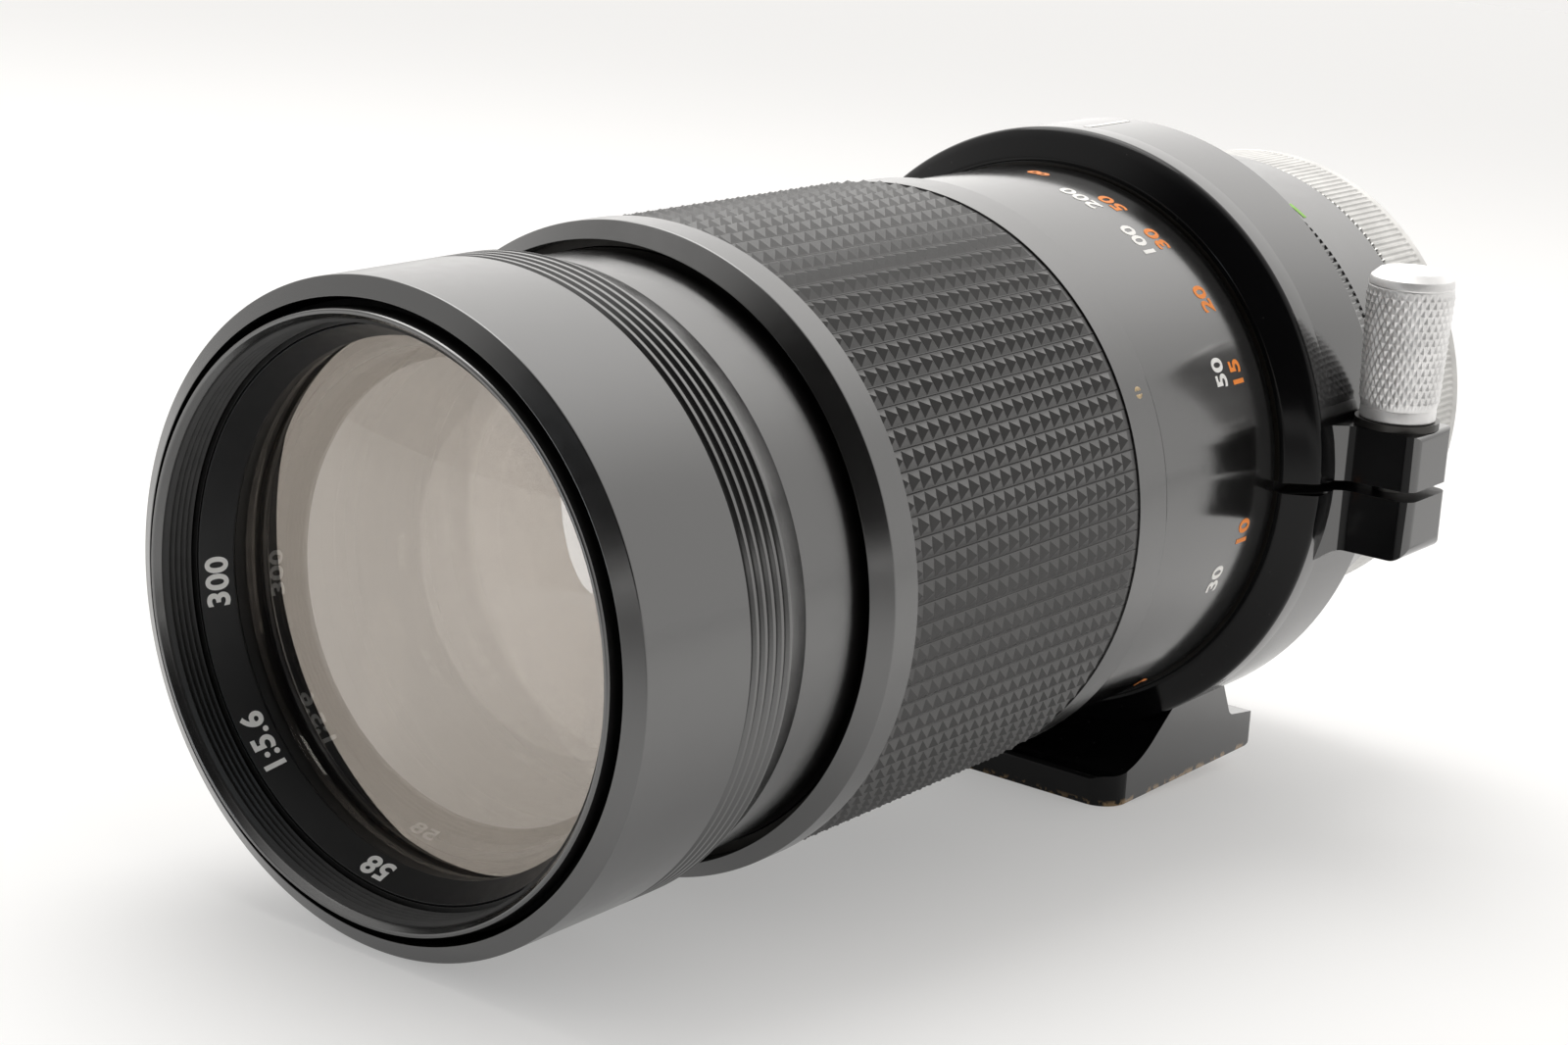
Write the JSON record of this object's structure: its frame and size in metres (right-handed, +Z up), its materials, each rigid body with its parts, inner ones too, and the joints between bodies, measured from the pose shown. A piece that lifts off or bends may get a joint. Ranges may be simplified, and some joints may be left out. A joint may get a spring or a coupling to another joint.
{
  "type": "telephoto prime camera lens",
  "caption": "Telephoto prime camera lens with sliding hood, rubber-gripped focus ring, distance scale, rotating tripod collar with foot and clamp knob, aperture ring and breech-lock ring.",
  "frame": {"origin": "on the optical axis, in the plane of the mount's register face", "axes": "-Y along the optical axis towards the front glass, +Z up from the tripod foot, +X towards the clamp knob"},
  "size_m": [0.0855, 0.1769, 0.0805],
  "materials": {
    "black_metal": "satin black anodised",
    "collar_black": "gloss black enamel",
    "grip_rubber": "matt ribbed",
    "satin_chrome": "satin chrome plate",
    "bright_aluminium": "bright, knurled",
    "steel": "machined",
    "brass": "machined",
    "felt": "black felt",
    "glass": "coated, polished",
    "blade_steel": "blackened"
  },
  "bodies": {
    "barrel": {"main_barrel": "black_metal", "guide_barrel": "black_metal", "guide_keys": "brass", "focus_retainer": "black_metal", "focus_stop": "steel", "rear_barrel": "black_metal", "mount_base": "satin_chrome", "mount_screws": "steel", "mount_pin": "steel", "breech_retainer": "black_metal", "click_ball": "steel", "click_spring": "steel"},
    "collar": {"tripod_collar": "collar_black", "collar_liner": "brass", "tripod_bush": "satin_chrome", "clamp_washer": "steel"},
    "clamp": {"clamp_knob": "bright_aluminium", "clamp_screw": "steel"},
    "breech": {"breech_ring": "satin_chrome"},
    "aperture": {"aperture_ring": "black_metal", "aperture_arm": "steel", "signal_lever": "steel"},
    "stop_down": {"stop_down_lever": "steel"},
    "focus": {"focus_ring": "black_metal", "scale_ring": "black_metal", "focus_grip": "grip_rubber", "helicoid_sleeve": "brass", "focus_set_screws": "steel"},
    "front_group": {"front_barrel": "black_metal", "front_cell": "black_metal", "lens_1": "glass", "lens_2": "glass", "lens_3": "glass", "front_retaining_ring": "black_metal", "front_spacer": "black_metal", "inner_retaining_ring": "black_metal", "name_ring": "black_metal", "optical_tube": "black_metal", "iris_housing": "black_metal", "iris_cover": "black_metal", "iris_keeper": "black_metal", "rear_cell": "black_metal", "lens_4": "glass", "lens_5": "glass", "lens_6": "glass", "rear_spacer": "black_metal", "rear_retaining_ring": "black_metal", "rear_baffle": "black_metal"},
    "hood": {"lens_hood": "black_metal", "hood_felt": "felt"},
    "iris_drive": {"iris_ring": "brass"},
    "blade_1": {"iris_blade_1": "blade_steel"},
    "blade_2": {"iris_blade_2": "blade_steel"},
    "blade_3": {"iris_blade_3": "blade_steel"},
    "blade_4": {"iris_blade_4": "blade_steel"},
    "blade_5": {"iris_blade_5": "blade_steel"},
    "blade_6": {"iris_blade_6": "blade_steel"},
    "blade_7": {"iris_blade_7": "blade_steel"},
    "blade_8": {"iris_blade_8": "blade_steel"}
  },
  "joints": [
    {"name": "collar_turn", "type": "hinge", "parent": "barrel", "child": "collar", "pos_m": [0, -0.047, 0], "axis": [0, 1, 0], "continuous": true},
    {"name": "clamp_turn", "type": "hinge", "parent": "collar", "child": "clamp", "pos_m": [0.04222, -0.0436, 0], "axis": [0, 0, 1], "range_deg": [0, 540]},
    {"name": "breech_turn", "type": "hinge", "parent": "barrel", "child": "breech", "pos_m": [0, -0.006, 0], "axis": [0, 1, 0], "range_deg": [0, 60]},
    {"name": "aperture_turn", "type": "hinge", "parent": "barrel", "child": "aperture", "pos_m": [0, -0.0234, 0], "axis": [0, 1, 0], "range_deg": [0, 45]},
    {"name": "stop_down_turn", "type": "hinge", "parent": "barrel", "child": "stop_down", "pos_m": [0, -0.004, 0], "axis": [0, -1, 0], "range_deg": [0, 25]},
    {"name": "focus_turn", "type": "hinge", "parent": "barrel", "child": "focus", "pos_m": [0, -0.1, 0], "axis": [0, -1, 0], "range_deg": [0, 325]},
    {"name": "focus_travel", "type": "slide", "parent": "barrel", "child": "front_group", "axis": [0, -1, 0], "range_m": [0, 0.03]},
    {"name": "hood_slide", "type": "slide", "parent": "front_group", "child": "hood", "axis": [0, -1, 0], "range_m": [0, 0.018]},
    {"name": "iris_drive_turn", "type": "hinge", "parent": "front_group", "child": "iris_drive", "pos_m": [0, -0.088, 0], "axis": [0, 1, 0], "range_deg": [0, 45]},
    {"name": "blade_1_turn", "type": "hinge", "parent": "front_group", "child": "blade_1", "pos_m": [0.0184, -0.09, 0], "axis": [0, 1, 0], "range_deg": [0, 36.5]},
    {"name": "blade_2_turn", "type": "hinge", "parent": "front_group", "child": "blade_2", "pos_m": [0.01301, -0.09, -0.01301], "axis": [0, 1, 0], "range_deg": [0, 36.5]},
    {"name": "blade_3_turn", "type": "hinge", "parent": "front_group", "child": "blade_3", "pos_m": [0, -0.09, -0.0184], "axis": [0, 1, 0], "range_deg": [0, 36.5]},
    {"name": "blade_4_turn", "type": "hinge", "parent": "front_group", "child": "blade_4", "pos_m": [-0.01301, -0.09, -0.01301], "axis": [0, 1, 0], "range_deg": [0, 36.5]},
    {"name": "blade_5_turn", "type": "hinge", "parent": "front_group", "child": "blade_5", "pos_m": [-0.0184, -0.09, 0], "axis": [0, 1, 0], "range_deg": [0, 36.5]},
    {"name": "blade_6_turn", "type": "hinge", "parent": "front_group", "child": "blade_6", "pos_m": [-0.01301, -0.09, 0.01301], "axis": [0, 1, 0], "range_deg": [0, 36.5]},
    {"name": "blade_7_turn", "type": "hinge", "parent": "front_group", "child": "blade_7", "pos_m": [0, -0.09, 0.0184], "axis": [0, 1, 0], "range_deg": [0, 36.5]},
    {"name": "blade_8_turn", "type": "hinge", "parent": "front_group", "child": "blade_8", "pos_m": [0.01301, -0.09, 0.01301], "axis": [0, 1, 0], "range_deg": [0, 36.5]}
  ],
  "couplings": [
    {"joint": "focus_travel", "follows": "focus_turn", "m_per_rad": 0.0052888},
    {"joint": "iris_drive_turn", "follows": "aperture_turn", "ratio": 1},
    {"joint": "blade_1_turn", "follows": "aperture_turn", "ratio": 0.81111},
    {"joint": "blade_2_turn", "follows": "aperture_turn", "ratio": 0.81111},
    {"joint": "blade_3_turn", "follows": "aperture_turn", "ratio": 0.81111},
    {"joint": "blade_4_turn", "follows": "aperture_turn", "ratio": 0.81111},
    {"joint": "blade_5_turn", "follows": "aperture_turn", "ratio": 0.81111},
    {"joint": "blade_6_turn", "follows": "aperture_turn", "ratio": 0.81111},
    {"joint": "blade_7_turn", "follows": "aperture_turn", "ratio": 0.81111},
    {"joint": "blade_8_turn", "follows": "aperture_turn", "ratio": 0.81111}
  ]
}
